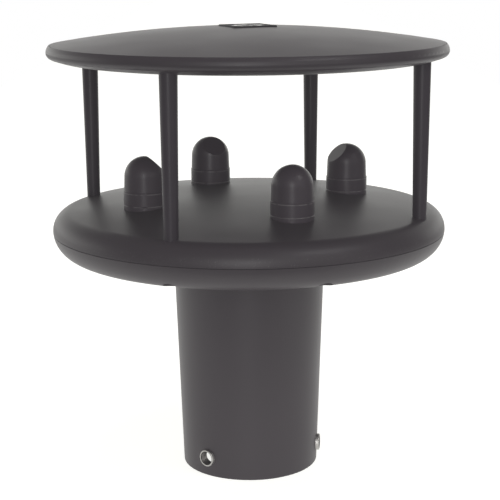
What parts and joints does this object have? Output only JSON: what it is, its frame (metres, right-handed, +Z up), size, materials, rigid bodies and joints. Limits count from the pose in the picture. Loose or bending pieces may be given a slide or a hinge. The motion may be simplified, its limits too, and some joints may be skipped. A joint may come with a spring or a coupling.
{
  "type": "ultrasonic wind sensor",
  "caption": "Solid-state ultrasonic wind sensor: a round roof on slim pillars over a round body with domed transducers, on a tube that slides over a pole.",
  "frame": {"origin": "centre of the bottom rim of the mounting tube", "axes": "+Z up along the tube's axis towards the roof; -Y is the front, and the transducers stand on the X and Y axes"},
  "size_m": [0.142, 0.142, 0.161],
  "materials": {
    "housing_plastic": "satin dark moulded plastic",
    "pillar_plastic": "satin dark moulded plastic",
    "badge_plastic": "dark plate with a plain light border",
    "transducer_plastic": "fine matt dark moulding",
    "collar_plastic": "satin dark moulded plastic",
    "insert_steel": "turned bright metal",
    "insert_brass": "turned",
    "screw_steel": "plain stainless",
    "seal_rubber": "matt",
    "piezo_disc": "silvered ceramic disc",
    "wire_sleeve": "flexible sleeve",
    "board_laminate": "green solder mask",
    "chip_plastic": "matt black",
    "transformer_case": "dark ferrite and tape",
    "capacitor_can": "plain can",
    "header_plastic": "black moulding",
    "connector_metal": "dull plated",
    "pin_brass": "gilt"
  },
  "bodies": {
    "root": {"roof_cover": "housing_plastic", "roof_base": "housing_plastic", "badge_plate": "badge_plastic", "roof_inserts": "insert_brass", "pillar_front_left": "pillar_plastic", "pillar_front_right": "pillar_plastic", "pillar_back_left": "pillar_plastic", "pillar_back_right": "pillar_plastic", "upper_housing": "housing_plastic", "lower_housing": "housing_plastic", "housing_seal": "seal_rubber", "housing_screws": "screw_steel", "pillar_screws": "screw_steel", "clamp_inserts": "insert_steel", "transducer_front": "transducer_plastic", "transducer_collar_front": "collar_plastic", "piezo_front": "piezo_disc", "transducer_lead_front": "wire_sleeve", "transducer_right": "transducer_plastic", "transducer_collar_right": "collar_plastic", "piezo_right": "piezo_disc", "transducer_lead_right": "wire_sleeve", "transducer_back": "transducer_plastic", "transducer_collar_back": "collar_plastic", "piezo_back": "piezo_disc", "transducer_lead_back": "wire_sleeve", "transducer_left": "transducer_plastic", "transducer_collar_left": "collar_plastic", "piezo_left": "piezo_disc", "transducer_lead_left": "wire_sleeve", "main_board": "board_laminate", "processor_chip": "chip_plastic", "drive_transformers": "transformer_case", "filter_capacitors": "capacitor_can", "board_header": "header_plastic", "board_screws": "screw_steel", "connector_shell": "connector_metal", "connector_gasket": "seal_rubber", "connector_nut": "connector_metal", "connector_insulator": "header_plastic", "connector_pins": "pin_brass", "wiring_loom": "wire_sleeve"}
  },
  "joints": []
}
